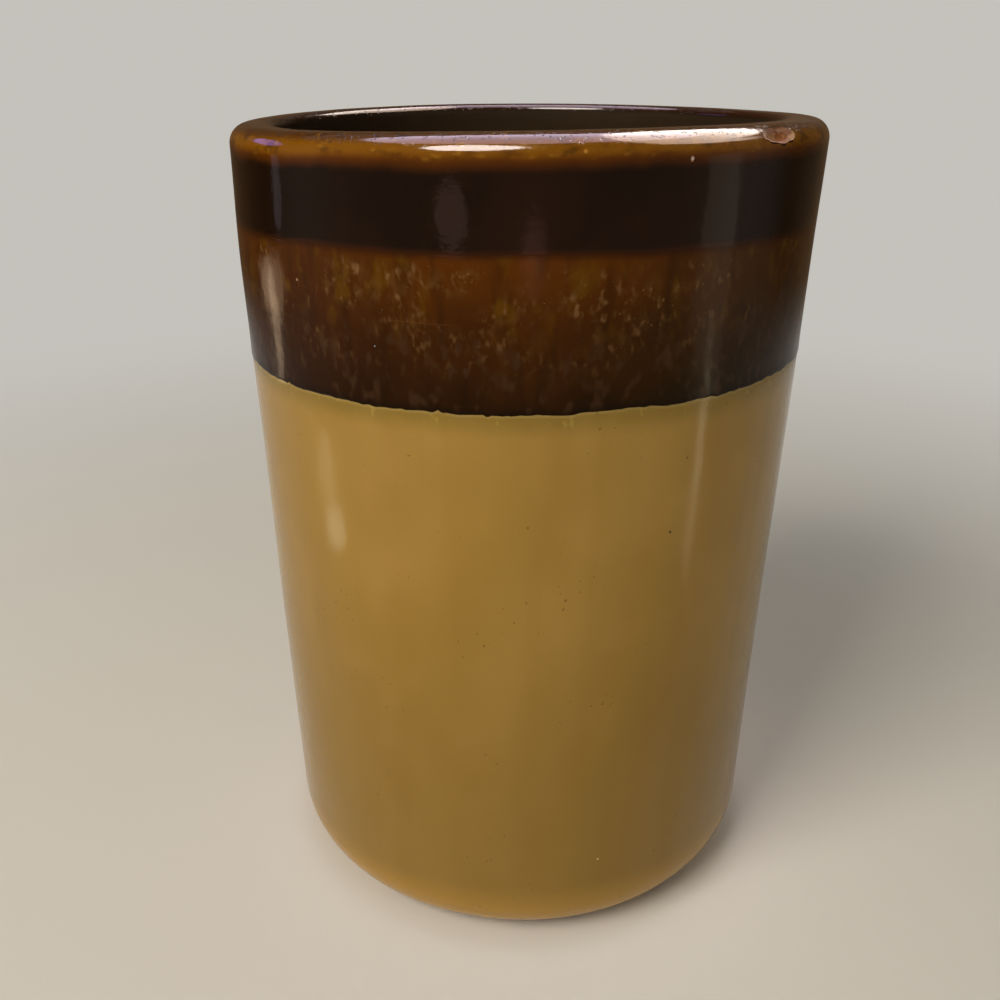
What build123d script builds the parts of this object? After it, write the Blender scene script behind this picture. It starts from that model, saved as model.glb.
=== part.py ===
"""Utensil crock: one fired stoneware body under four coats of glaze.

Millimetres, +Z up. The origin is the centre of the foot, on the surface that the crock stands on.
The sizes are taken over the glaze, as a rule or a caliper finds them.
"""

from build123d import *
from math import atan2, cos, pi, tan
import os

# The crock as a whole
crock_height = 178.0
mouth_radius = 63.5  # the outer face, carried up to the height of the lip
wall_flare = 4.8  # how much further out that face is at the lip than at the table
wall_thickness = 9.2
floor_height = 9.5  # the inside floor above the table

# Rounded edges
heel_radius = 12.8
inside_corner_radius = 10.0
lip_inner_radius = 1.6
lip_crest_width = 3.6  # what stays level between the two rounds of the lip

# The dry foot
foot_ring_width = 8.2
foot_recess_depth = 1.8
foot_recess_bevel = 1.0
bare_foot_height = 3.0  # the clay that is left without glaze above the table

# The glaze coats
glaze_thickness = 0.5
coat_clearance = 0.1  # between a coat and the clay under it
lap_length = 4.0  # how far each coat runs over the feathered edge of the one below
dark_line_depth = 20.0  # below the lip, where the dark coat ends outside
liner_line_depth = 14.0  # below the lip, where the dark coat ends inside
amber_band_height = 28.3

# How far a cutting outline runs past what it cuts
overrun = 5.0
scarf_reach_share = 1.0  # of the lap, past each end of it
core_share = 0.5  # of the wall or floor, where outlines pass through the clay

wall_lean = atan2(wall_flare, crock_height)
right_angle = pi / 2
clay_depth = glaze_thickness + coat_clearance
dark_line_height = crock_height - dark_line_depth
liner_line_height = crock_height - liner_line_depth
amber_line_height = dark_line_height - amber_band_height


def outer_radius(height: float, depth: float) -> float:
    """Radius of the outer face at a height, set in by a depth under the glaze."""
    return mouth_radius - (crock_height - height) * tan(wall_lean) - depth / cos(wall_lean)


def inner_radius(height: float, depth: float) -> float:
    """Radius of the inner face at a height, set back by a depth under the glaze."""
    return outer_radius(height, wall_thickness - depth)


# The outer round of the lip takes all of the top that the crest and the inner round leave.
lip_width = wall_thickness / cos(wall_lean)
inner_round_width = lip_inner_radius / tan((right_angle + wall_lean) / 2)
lip_outer_radius = (lip_width - lip_crest_width - inner_round_width) * tan((right_angle - wall_lean) / 2)


def half_section(depth: float) -> Sketch:
    """Half section of the crock, flat, with every face set in by a depth under the glaze."""
    foot = depth - clay_depth
    floor = floor_height - depth
    top = crock_height - depth
    with BuildSketch() as section:
        with BuildLine() as outline:
            FilletPolyline(
                (0, floor),
                (inner_radius(floor, depth), floor),
                (inner_radius(top, depth), top),
                (outer_radius(top, depth), top),
                (outer_radius(foot, depth), foot),
                (0, foot),
                radius=[
                    inside_corner_radius + depth,
                    lip_inner_radius - depth,
                    lip_outer_radius - depth,
                    heel_radius - depth,
                ],
            )
            Line((0, foot), (0, floor))
        make_face()
    return section.sketch


def scarf(height: float, face) -> tuple:
    """Ends of the slanted joint of two coats: one clear of the glaze, one inside the clay."""
    low = Vector(face(height, 0), height)
    high = Vector(face(height + lap_length, glaze_thickness), height + lap_length)
    reach = (high - low) * scarf_reach_share
    return low - reach, high + reach


amber_edge_out, amber_edge_in = scarf(amber_line_height, outer_radius)
dark_edge_out, dark_edge_in = scarf(dark_line_height, outer_radius)
liner_edge_out, liner_edge_in = scarf(liner_line_height, inner_radius)

# Where outlines pass through the clay, and how far they run past it
clear_radius = mouth_radius + overrun
clear_height = crock_height + overrun
heel_centre_radius = outer_radius(heel_radius, heel_radius)
core_foot = (heel_centre_radius, core_share * floor_height)
core_wall = (outer_radius(heel_radius, core_share * wall_thickness), heel_radius)

# The level ring of clay that the crock stands on, inside the round of the heel
heel_round_width = (heel_radius - clay_depth) / tan((right_angle + wall_lean) / 2)
foot_recess_radius = outer_radius(0, clay_depth) - heel_round_width - foot_ring_width

clay_section = half_section(clay_depth)
glazed_section = half_section(0)
under_glaze_section = half_section(glaze_thickness)

os.makedirs("parts", exist_ok=True)

# Fired clay: floor, leaning wall, rounded lip and the recessed dry foot
with BuildPart() as stoneware_body:
    with BuildSketch(Plane.XZ) as body_sketch:
        add(clay_section)
    revolve(axis=Axis.Z)
    with BuildSketch(Plane.XY) as recess_sketch:
        Circle(foot_recess_radius)
    extrude(amount=foot_recess_depth, mode=Mode.SUBTRACT)
    foot_edges = stoneware_body.edges().filter_by(GeomType.CIRCLE).group_by(Axis.Z)[0]
    chamfer(foot_edges.sort_by(SortBy.RADIUS)[0], foot_recess_bevel)
stoneware_body.part.label = "stoneware_body"
export_step(stoneware_body.part, "parts/stoneware_body.step")

# Ochre coat on the lower outside, feathered under the amber band
with BuildPart() as tan_glaze:
    with BuildSketch(Plane.XZ) as tan_sketch:
        add(glazed_section)
        add(under_glaze_section, mode=Mode.SUBTRACT)
        with BuildLine() as tan_outline:
            Polyline(
                (clear_radius, bare_foot_height),
                (amber_edge_out.X, amber_edge_out.Y),
                (amber_edge_in.X, amber_edge_in.Y),
                core_wall,
                core_foot,
                (heel_centre_radius, bare_foot_height),
                close=True,
            )
        make_face(mode=Mode.INTERSECT)
    revolve(axis=Axis.Z)
tan_glaze.part.label = "tan_glaze"
export_step(tan_glaze.part, "parts/tan_glaze.step")

# Mottled amber band, over the tan edge and under the dark one
with BuildPart() as amber_glaze:
    with BuildSketch(Plane.XZ) as amber_sketch:
        add(glazed_section)
        add(under_glaze_section, mode=Mode.SUBTRACT)
        with BuildLine() as amber_outline:
            Polyline(
                (amber_edge_out.X, amber_edge_out.Y),
                (dark_edge_out.X, dark_edge_out.Y),
                (dark_edge_in.X, dark_edge_in.Y),
                (amber_edge_in.X, amber_edge_in.Y),
                close=True,
            )
        make_face(mode=Mode.INTERSECT)
    revolve(axis=Axis.Z)
amber_glaze.part.label = "amber_glaze"
export_step(amber_glaze.part, "parts/amber_glaze.step")

# Near-black coat over the shoulder and the lip, and a little way down inside
with BuildPart() as dark_glaze:
    with BuildSketch(Plane.XZ) as dark_sketch:
        add(glazed_section)
        add(under_glaze_section, mode=Mode.SUBTRACT)
        with BuildLine() as dark_outline:
            Polyline(
                (dark_edge_out.X, dark_edge_out.Y),
                (clear_radius, clear_height),
                (liner_edge_out.X, clear_height),
                (liner_edge_out.X, liner_edge_out.Y),
                (liner_edge_in.X, liner_edge_in.Y),
                (dark_edge_in.X, dark_edge_in.Y),
                close=True,
            )
        make_face(mode=Mode.INTERSECT)
    revolve(axis=Axis.Z)
dark_glaze.part.label = "dark_glaze"
export_step(dark_glaze.part, "parts/dark_glaze.step")

# Coat poured inside, over the wall, the corner and the floor
with BuildPart() as liner_glaze:
    with BuildSketch(Plane.XZ) as liner_sketch:
        add(glazed_section)
        add(under_glaze_section, mode=Mode.SUBTRACT)
        with BuildLine() as liner_outline:
            Polyline(
                (0, core_share * floor_height),
                core_foot,
                core_wall,
                (liner_edge_in.X, liner_edge_in.Y),
                (liner_edge_out.X, liner_edge_out.Y),
                (0, liner_edge_out.Y),
                close=True,
            )
        make_face(mode=Mode.INTERSECT)
    revolve(axis=Axis.Z)
liner_glaze.part.label = "liner_glaze"
export_step(liner_glaze.part, "parts/liner_glaze.step")
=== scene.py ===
"""Looks of the utensil crock: turned stoneware under four coats of glaze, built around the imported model.

Everything is in metres, with +Z up and the origin at the centre of the foot. Heights and depths are
those of the solids, and the skins made here stand for the solids one by one. Angles round the crock
are in degrees from the front, and grow towards the right.
"""

import logging
import math
from dataclasses import dataclass, fields
from enum import Enum

import bmesh
import bpy
from mathutils import Matrix, Vector, noise


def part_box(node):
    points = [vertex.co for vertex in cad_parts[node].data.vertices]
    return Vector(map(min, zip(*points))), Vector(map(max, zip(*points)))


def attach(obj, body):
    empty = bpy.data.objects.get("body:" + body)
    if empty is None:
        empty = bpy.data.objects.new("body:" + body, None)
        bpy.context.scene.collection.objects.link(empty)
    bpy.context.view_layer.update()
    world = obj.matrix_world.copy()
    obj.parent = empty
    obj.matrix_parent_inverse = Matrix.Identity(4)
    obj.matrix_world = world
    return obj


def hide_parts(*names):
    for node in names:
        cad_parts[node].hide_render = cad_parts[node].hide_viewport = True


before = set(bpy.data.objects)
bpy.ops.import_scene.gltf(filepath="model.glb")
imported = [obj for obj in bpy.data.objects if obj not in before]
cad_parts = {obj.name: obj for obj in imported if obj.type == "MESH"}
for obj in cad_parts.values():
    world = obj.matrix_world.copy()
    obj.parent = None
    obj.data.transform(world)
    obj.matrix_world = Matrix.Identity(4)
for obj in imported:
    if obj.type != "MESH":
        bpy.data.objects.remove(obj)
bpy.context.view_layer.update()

MM = 0.001
SHARP_EDGE = math.radians(38.0)
GRAIN_LOW, GRAIN_HIGH = 0.25, 0.75  # nearly all of Blender's noise lies between these
WARM_TINT = "#FFE8D2"  # of the gloss on the two brown glazes, which hold iron
MATH = "ShaderNodeMath"
RANGE = "ShaderNodeMapRange"
NOISE = "ShaderNodeTexNoise"
VECTOR = "ShaderNodeVectorMath"
SPLIT = "ShaderNodeSeparateXYZ"
JOIN = "ShaderNodeCombineXYZ"

Source = bpy.types.Node | bpy.types.NodeSocket

log = logging.getLogger("crock")


class Side(Enum):
    """Which face of the wall a point lies on."""

    OUTSIDE = "outside"
    INSIDE = "inside"


class Shows(Enum):
    """What a lamp is there for."""

    LIGHT = "light"
    REFLECTION = "reflection"


def linear(hex_colour: str) -> tuple[float, float, float, float]:
    """Turns an sRGB hex colour into the linear colour that a shader takes.

    Args:
        hex_colour: Six hex digits, with or without a leading hash.

    Returns:
        Red, green, blue and an alpha of one.
    """
    digits = hex_colour.lstrip("#")
    channels = [int(digits[i:i + 2], 16) / 255 for i in (0, 2, 4)]
    red, green, blue = [c / 12.92 if c <= 0.04045 else ((c + 0.055) / 1.055) ** 2.4 for c in channels]
    return red, green, blue, 1.0


def add_node(tree: bpy.types.NodeTree, kind: str, inputs: dict | None = None,
             **settings: object) -> bpy.types.Node:
    """Adds a node with its settings, and sets or links its inputs.

    Args:
        tree: The tree that gets the node.
        kind: Blender's name for the kind of node.
        inputs: What goes into each socket, by its name or place: a value, a socket, or a node, which
            then gives its first output in use.
        **settings: The node's own properties.

    Returns:
        The new node.
    """
    node = tree.nodes.new(kind)
    for name, value in settings.items():
        setattr(node, name, value)
    for key, source in (inputs or {}).items():
        target = node.inputs[key] if isinstance(key, int) else next(
            s for s in node.inputs if s.name == key and s.enabled)
        if isinstance(source, bpy.types.Node):
            source = next(s for s in source.outputs if s.enabled)
        if isinstance(source, bpy.types.NodeSocket):
            tree.links.new(source, target)
        else:
            target.default_value = source
    return node


@dataclass(frozen=True)
class CrockForm:
    """Sizes of the crock over the glaze, in metres, and the faces that follow from them.

    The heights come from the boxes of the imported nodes. The rest repeats the sizes of the solids.
    """

    height: float
    amber_line: float
    dark_line: float
    liner_line: float
    bare_foot: float
    lap: float
    mouth_radius: float = 63.5 * MM
    wall_flare: float = 4.8 * MM
    wall: float = 9.2 * MM
    floor: float = 9.5 * MM
    heel_radius: float = 12.8 * MM
    corner_radius: float = 10.0 * MM
    lip_inner_radius: float = 1.6 * MM
    lip_crest_width: float = 3.6 * MM
    lip_crown: float = 0.2 * MM
    crown_radius: float = 10.0 * MM
    foot_ring_width: float = 8.2 * MM
    recess_depth: float = 1.8 * MM
    recess_bevel: float = 1.0 * MM
    coat: float = 0.6 * MM

    @classmethod
    def from_frame(cls) -> "CrockForm":
        """Reads the heights of the lip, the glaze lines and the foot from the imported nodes.

        Returns:
            The form, with all other sizes as the solids have them.
        """
        tan_low, tan_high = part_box("tan_glaze")
        amber_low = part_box("amber_glaze")[0]
        dark_low, dark_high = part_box("dark_glaze")
        liner_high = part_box("liner_glaze")[1]
        lap = tan_high.z - amber_low.z
        return cls(
            height=dark_high.z,
            amber_line=amber_low.z,
            dark_line=dark_low.z,
            liner_line=liner_high.z - lap,
            bare_foot=tan_low.z,
            lap=lap,
        )

    @property
    def lean(self) -> float:
        """Angle of the wall from upright."""
        return math.atan2(self.wall_flare, self.height)

    def radius(self, side: Side, height: float, depth: float = 0.0) -> float:
        """Radius of a face of the wall.

        Args:
            side: The outer or the inner face.
            height: Height above the table.
            depth: How far under the glaze, into the wall.

        Returns:
            The radius in metres.
        """
        if side is Side.INSIDE:
            depth = self.wall - depth
        upright = self.mouth_radius - (self.height - height) * math.tan(self.lean)
        return upright - depth / math.cos(self.lean)

    @property
    def lip_inner_width(self) -> float:
        """Width that the inner round takes of the lip."""
        return self.lip_inner_radius / math.tan((math.pi / 2 + self.lean) / 2)

    @property
    def lip_outer_radius(self) -> float:
        """Radius of the round on the outer side of the lip."""
        width = self.wall / math.cos(self.lean) - self.lip_crest_width - self.lip_inner_width
        return width * math.tan((math.pi / 2 - self.lean) / 2)

    @property
    def recess_radius(self) -> float:
        """Radius of the recess under the foot."""
        round_width = (self.heel_radius - self.coat) / math.tan((math.pi / 2 + self.lean) / 2)
        return self.radius(Side.OUTSIDE, 0.0, self.coat) - round_width - self.foot_ring_width

    def lip_corners(self, depth: float) -> tuple[list[tuple[float, float]], list[float]]:
        """Corners of the lip, from the inside over the crest to the outside, and their rounds.

        Args:
            depth: How far under the glaze.

        Returns:
            Radius and height of the three corners, and the radius of the round at each.
        """
        top = self.height - depth
        shoulder = top - self.lip_crown
        crest = self.radius(Side.INSIDE, self.height) + self.lip_inner_width + self.lip_crest_width / 2
        corners = [(self.radius(Side.INSIDE, shoulder, depth), shoulder), (crest, top),
                   (self.radius(Side.OUTSIDE, shoulder, depth), shoulder)]
        rounds = (self.lip_inner_radius, self.crown_radius, self.lip_outer_radius)
        return corners, [radius - depth for radius in rounds]

    def lip_point(self, turn: float, rise: float) -> tuple[Vector, Vector]:
        """A point on the outer round of the lip.

        Args:
            turn: Angle round the crock in degrees.
            rise: Angle up the round in degrees, from level outwards to straight up.

        Returns:
            The point, and the direction straight out of the glaze there.
        """
        top = self.height - self.lip_outer_radius
        centre = self.radius(Side.OUTSIDE, top, self.lip_outer_radius)
        around, up = math.radians(turn), math.radians(rise)
        level = Vector((math.sin(around), -math.cos(around), 0.0))
        out = level * math.cos(up) + Vector((0.0, 0.0, math.sin(up)))
        return level * centre + Vector((0.0, 0.0, top)) + out * self.lip_outer_radius, out

    def wall_point(self, turn: float, height: float) -> tuple[Vector, Vector]:
        """A point on the outer wall, and the direction straight out of it.

        Args:
            turn: Angle round the crock in degrees.
            height: Height above the table.

        Returns:
            The point and the direction.
        """
        around = math.radians(turn)
        level = Vector((math.sin(around), -math.cos(around), 0.0))
        out = level * math.cos(self.lean) + Vector((0.0, 0.0, -math.sin(self.lean)))
        return level * self.radius(Side.OUTSIDE, height) + Vector((0.0, 0.0, height)), out


def straight_run(start: Vector, end: Vector, spacing: float) -> list[Vector]:
    """Points from start to end without start itself, at most spacing apart."""
    steps = math.ceil((end - start).length / spacing - 1e-6)
    return [start.lerp(end, step / steps) for step in range(1, steps + 1)]


def rounded_path(corners: list[tuple], radii: list[float], spacing: float) -> list[tuple[float, float]]:
    """Walks along straight runs joined by round corners.

    Args:
        corners: Radius and height of each corner, ends included.
        radii: Radius of the round at each corner between the ends.
        spacing: Distance between the points that it leaves.

    Returns:
        Points along the path, as radius and height.
    """
    path = [Vector(corners[0])]
    for before, corner, after, radius in zip(corners, corners[1:], corners[2:], radii):
        corner = Vector(corner)
        back = (Vector(before) - corner).normalized()
        ahead = (Vector(after) - corner).normalized()
        half = back.angle(ahead) / 2
        start = corner + back * (radius / math.tan(half))
        end = corner + ahead * (radius / math.tan(half))
        centre = corner + (back + ahead).normalized() * (radius / math.sin(half))
        path += straight_run(path[-1], start, spacing)
        first, last = start - centre, end - centre
        sweep = math.copysign(math.pi - 2 * half, first.x * last.y - first.y * last.x)
        steps = max(3, math.ceil(radius * abs(sweep) / spacing))
        path += [centre + Matrix.Rotation(sweep * step / steps, 2) @ first for step in range(1, steps + 1)]
    path += straight_run(path[-1], Vector(corners[-1]), spacing)
    return [(p.x, p.y) for p in path]


def profile_mesh(name: str, path: list[tuple[float, float]], closed: bool) -> bpy.types.Mesh:
    """Makes the half section that a skin is turned from, flat, with height along Y.

    Args:
        name: What the mesh is called.
        path: Radius and height of each point.
        closed: Whether the last point joins the first. A path that is open has its ends on the axis.

    Returns:
        A mesh of points and edges.
    """
    mesh = bpy.data.meshes.new(name)
    edges = [(i, i + 1) for i in range(len(path) - 1)]
    if closed:
        edges.append((len(path) - 1, 0))
    mesh.from_pydata([(r, z, 0.0) for r, z in path], edges, [])
    return mesh


def run_tree(piece: bpy.types.Object, tree: bpy.types.NodeTree, values: dict) -> None:
    """Runs a Geometry Nodes tree on a piece and leaves its result as a plain mesh.

    Args:
        piece: The object that gives the tree its geometry.
        tree: The tree.
        values: What goes into each named input.
    """
    modifier = piece.modifiers.new("shape", "NODES")
    modifier.node_group = tree
    sockets = {s.name: s.identifier for s in tree.interface.items_tree if s.in_out == "INPUT"}
    for name, value in values.items():
        modifier[sockets[name]] = value
    settle(piece)


def settle(piece: bpy.types.Object) -> None:
    """Gives a piece the mesh that its modifiers make, and takes them off.

    Args:
        piece: The object with the modifiers.
    """
    depsgraph = bpy.context.evaluated_depsgraph_get()
    mesh = bpy.data.meshes.new_from_object(piece.evaluated_get(depsgraph))
    piece.modifiers.clear()
    piece.data = mesh
    mesh.name = piece.name


def face_outwards(mesh: bpy.types.Mesh) -> None:
    """Turns the faces of a closed mesh round if they point into it.

    Args:
        mesh: The mesh.
    """
    shape = bmesh.new()
    shape.from_mesh(mesh)
    inside_out = shape.calc_volume(signed=True) < 0
    shape.free()
    if inside_out:
        mesh.flip_normals()


@dataclass(frozen=True)
class Notch:
    """A small place where the lower edge of the amber band jumps.

    Attributes:
        turn: Angle round the crock in degrees.
        jump: How far the line moves, upwards if positive.
        width: Half width of the place.
    """

    turn: float
    jump: float
    width: float


@dataclass(frozen=True)
class Firing:
    """What throwing, dipping and firing did to the true form. Lengths in metres.

    Each field is an input of the tree that turns the skins. The lip sinks by lip_sink, rises to the
    right and to the back by lip_side and lip_back, is twisted by lip_twist, and hangs at both sides by
    lip_saddle. On the left it is pressed in by lip_pinch.
    """

    lip_sink: float = 0.46 * MM
    lip_side: float = 0.64 * MM
    lip_back: float = 0.46 * MM
    lip_twist: float = 0.50 * MM
    lip_saddle: float = 0.55 * MM
    lip_pinch: float = 0.80 * MM
    lip_reach: float = 32.0 * MM
    lip_wave: float = 0.10 * MM
    lip_wave_size: float = 30.0 * MM
    wall_wave: float = 0.38 * MM
    wall_wave_size: float = 50.0 * MM
    line_tilt: float = 0.85 * MM
    line_wander: float = 0.34 * MM
    line_wander_size: float = 11.0 * MM
    line_scallop: float = 0.17 * MM
    line_scallop_size: float = 2.2 * MM
    line_reach: float = 6.0 * MM
    dark_wander: float = 0.45 * MM
    dark_wander_size: float = 24.0 * MM
    seed: float = 4.0


@dataclass(frozen=True)
class ThrowingRings:
    """Rings that the potter's fingers left, along the wall and on a level face. Lengths in metres."""

    ring_depth: float = 0.0
    ring_spacing: float = 4.0 * MM
    ring_top: float = 24.0 * MM


class TurnedSkin:
    """Geometry Nodes tree that turns a half section round the axis and then fires it.

    All skins get the same shifts from the same place in space, so neighbours stay face to face. The
    tree keeps the true height of each point in millimetres, and marks the skin that came out of the
    kiln, so that the finishes know a break from it.
    """

    NOTCHES = (
        Notch(-47.9, 0.50 * MM, 0.35 * MM),
        Notch(-14.2, 0.50 * MM, 0.40 * MM),
        Notch(-5.8, -0.40 * MM, 0.30 * MM),
        Notch(36.0, -0.35 * MM, 0.9 * MM),
        Notch(118.0, 0.5 * MM, 0.5 * MM),
        Notch(203.0, -0.6 * MM, 0.6 * MM),
        Notch(-112.0, 0.45 * MM, 0.45 * MM),
    )
    MERGED = 0.002 * MM  # points closer than this are one, as at the poles
    PINCH_END = -0.3  # how far to the right the pinch at the left reaches, where the axis is zero

    def __init__(self, form: CrockForm, firing: Firing) -> None:
        """Builds the tree once for all skins.

        Args:
            form: The true form.
            firing: What the kiln did to it.
        """
        self.form = form
        self.shared = {
            "Path Radius": form.mouth_radius,
            "Height": form.height,
            "Amber Line": form.amber_line,
            "Dark Line": form.dark_line,
            **self.inputs_of(firing),
        }
        self.tree = bpy.data.node_groups.new("turned skin", "GeometryNodeTree")
        face = self.tree.interface
        face.new_socket("Geometry", in_out="INPUT", socket_type="NodeSocketGeometry")
        face.new_socket("Columns", in_out="INPUT", socket_type="NodeSocketInt")
        for name in [*self.shared, *self.inputs_of(ThrowingRings())]:
            face.new_socket(name, in_out="INPUT", socket_type="NodeSocketFloat")
        face.new_socket("Material", in_out="INPUT", socket_type="NodeSocketMaterial")
        face.new_socket("Geometry", in_out="OUTPUT", socket_type="NodeSocketGeometry")
        self.given = add_node(self.tree, "NodeGroupInput").outputs
        self.build()

    @staticmethod
    def inputs_of(sizes: Firing | ThrowingRings) -> dict[str, float]:
        """Names and values of the tree's inputs for a set of sizes."""
        return {f.name.replace("_", " ").title(): getattr(sizes, f.name) for f in fields(sizes)}

    def build(self) -> None:
        """Turns the section, marks it, shifts it and dresses it."""
        tree = self.tree
        place = add_node(tree, "GeometryNodeInputPosition")
        parts = add_node(tree, SPLIT, {0: place})
        flat = add_node(tree, JOIN, {"X": parts.outputs["X"], "Y": parts.outputs["Y"]})
        self.around = add_node(tree, VECTOR, {0: flat}, operation="NORMALIZE")
        self.from_axis = add_node(tree, VECTOR, {0: flat}, operation="LENGTH").outputs["Value"]
        self.level = parts.outputs["Z"]
        compass = add_node(tree, SPLIT, {0: self.around})
        self.right, self.back = compass.outputs["X"], compass.outputs["Y"]
        rise = self.total([self.lip_shift(), self.line_shift(), self.dark_shift(), self.ring_shift(True)])
        spread = self.total([self.wall_shift(), self.pinch_shift(), self.ring_shift(False)])
        out = add_node(tree, VECTOR, {0: self.around, "Scale": spread}, operation="SCALE")
        up = add_node(tree, JOIN, {"Z": rise})
        shift = add_node(tree, VECTOR, {0: out, 1: up}, operation="ADD")
        in_mm = add_node(tree, MATH, {0: self.level, 1: 1 / MM}, operation="MULTIPLY")
        marked = add_node(tree, "GeometryNodeStoreNamedAttribute",
                          {"Geometry": self.turn(), "Name": "form_height", "Value": in_mm},
                          data_type="FLOAT")
        skin = add_node(tree, "GeometryNodeStoreNamedAttribute",
                        {"Geometry": marked, "Name": "fired_skin", "Value": 1.0},
                        data_type="FLOAT", domain="FACE")
        moved = add_node(tree, "GeometryNodeSetPosition", {"Geometry": skin, "Offset": shift})
        smooth = add_node(tree, "GeometryNodeSetShadeSmooth", {"Geometry": moved})
        real = add_node(tree, "GeometryNodeRealizeInstances", {"Geometry": smooth})
        dressed = add_node(tree, "GeometryNodeSetMaterial",
                           {"Geometry": real, "Material": self.given["Material"]})
        add_node(tree, "NodeGroupOutput", {0: dressed})

    def turn(self) -> bpy.types.Node:
        """Sweeps the half section along a ring, and closes the poles on the axis.

        Returns:
            The node with the turned skin.
        """
        tree, given = self.tree, self.given
        inward = add_node(tree, MATH, {0: given["Path Radius"], 1: -1.0}, operation="MULTIPLY")
        offset = add_node(tree, JOIN, {"X": inward})
        laid = add_node(tree, "GeometryNodeTransform", {
            "Geometry": given["Geometry"], "Translation": offset, "Scale": (1.0, -1.0, 1.0)})
        section = add_node(tree, "GeometryNodeMeshToCurve", {"Mesh": laid})
        ring = add_node(tree, "GeometryNodeCurvePrimitiveCircle", {
            "Resolution": given["Columns"], "Radius": given["Path Radius"]}, mode="RADIUS")
        upright = add_node(tree, "GeometryNodeSetCurveNormal", {"Curve": ring}, mode="Z_UP")
        swept = add_node(tree, "GeometryNodeCurveToMesh", {"Curve": upright, "Profile Curve": section})
        return add_node(tree, "GeometryNodeMergeByDistance", {"Geometry": swept, "Distance": self.MERGED})

    def total(self, terms: list[bpy.types.Node]) -> bpy.types.Node:
        """Adds up the shifts that act on the same point.

        Args:
            terms: The nodes that give the shifts.

        Returns:
            The node that gives their sum.
        """
        result = terms[0]
        for term in terms[1:]:
            result = add_node(self.tree, MATH, {0: result, 1: term}, operation="ADD")
        return result

    def wander(self, size: str, height: str, seed: float, low: float = -1.0,
               high: float = 1.0) -> bpy.types.Node:
        """Uneven shift that runs round the crock and meets itself.

        Args:
            size: Input with the size of the pattern along the wall.
            height: Input with the height of the shift.
            seed: What sets this pattern apart from the others.
            low: Lowest share of the height.
            high: Highest share of the height.

        Returns:
            The node that gives the shift.
        """
        tree, given = self.tree, self.given
        scale = add_node(tree, MATH, {0: given["Path Radius"], 1: given[size]}, operation="DIVIDE")
        place = add_node(tree, VECTOR, {0: self.around, "Scale": scale}, operation="SCALE")
        own_seed = add_node(tree, MATH, {0: given["Seed"], 1: seed}, operation="ADD")
        apart = add_node(tree, JOIN, {"Z": own_seed})
        moved = add_node(tree, VECTOR, {0: place, 1: apart}, operation="ADD")
        grain = add_node(tree, NOISE, {"Vector": moved, "Scale": 1.0, "Detail": 1.0})
        spread = add_node(tree, RANGE, {0: grain, "From Min": GRAIN_LOW, "From Max": GRAIN_HIGH,
                                        "To Min": low, "To Max": high})
        return add_node(tree, MATH, {0: spread, 1: given[height]}, operation="MULTIPLY")

    def lip_shift(self) -> bpy.types.Node:
        """Sinks the lip, tilts and twists it, and adds a slight wave.

        Returns:
            The node that gives the shift.
        """
        tree, given = self.tree, self.given
        wave = self.wander("Lip Wave Size", "Lip Wave", 11.0, low=-1.001, high=0.0)
        sunk = add_node(tree, MATH, {0: wave, 1: given["Lip Sink"]}, operation="SUBTRACT")
        side = add_node(tree, MATH, {0: self.right, 1: given["Lip Side"], 2: sunk},
                        operation="MULTIPLY_ADD")
        tilted = add_node(tree, MATH, {0: self.back, 1: given["Lip Back"], 2: side},
                          operation="MULTIPLY_ADD")
        cross = add_node(tree, MATH, {0: self.right, 1: self.back}, operation="MULTIPLY")
        twist = add_node(tree, MATH, {0: cross, 1: given["Lip Twist"]}, operation="MULTIPLY")
        twisted = add_node(tree, MATH, {0: tilted, 1: twist}, operation="SUBTRACT")
        bend = add_node(tree, MATH, {0: self.right, 1: self.right}, operation="MULTIPLY")
        hang = add_node(tree, MATH, {0: bend, 1: given["Lip Saddle"]}, operation="MULTIPLY")
        both = add_node(tree, MATH, {0: twisted, 1: hang}, operation="SUBTRACT")
        return add_node(tree, MATH, {0: both, 1: self.lip_share()}, operation="MULTIPLY")

    def lip_share(self) -> bpy.types.Node:
        """How much a point takes part in what happened to the lip, from one at the top down to zero.

        Returns:
            The node that gives the share.
        """
        tree, given = self.tree, self.given
        start = add_node(tree, MATH, {0: given["Height"], 1: given["Lip Reach"]}, operation="SUBTRACT")
        return add_node(tree, RANGE, {0: self.level, "From Min": start, "From Max": given["Height"]},
                        interpolation_type="SMOOTHSTEP")

    def pinch_shift(self) -> bpy.types.Node:
        """Presses the lip in on the left.

        Returns:
            The node that gives the shift.
        """
        tree, given = self.tree, self.given
        side = add_node(tree, RANGE, {0: self.right, "From Min": -1.0, "From Max": self.PINCH_END,
                                      "To Min": -1.0, "To Max": 0.0}, interpolation_type="SMOOTHSTEP")
        deep = add_node(tree, MATH, {0: side, 1: given["Lip Pinch"]}, operation="MULTIPLY")
        return add_node(tree, MATH, {0: deep, 1: self.lip_share()}, operation="MULTIPLY")

    def near(self, line: str, shift: bpy.types.Node) -> bpy.types.Node:
        """Keeps a shift on a glaze line, and lets it fade out above and below.

        Args:
            line: Input with the height of the line.
            shift: The shift.

        Returns:
            The node that gives the faded shift.
        """
        tree = self.tree
        away = add_node(tree, MATH, {0: self.level, 1: self.given[line]}, operation="SUBTRACT")
        gap = add_node(tree, MATH, {0: away}, operation="ABSOLUTE")
        share = add_node(tree, RANGE, {0: gap, "From Min": self.given["Line Reach"], "From Max": 0.0},
                         interpolation_type="SMOOTHSTEP")
        return add_node(tree, MATH, {0: shift, 1: share}, operation="MULTIPLY")

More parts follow.
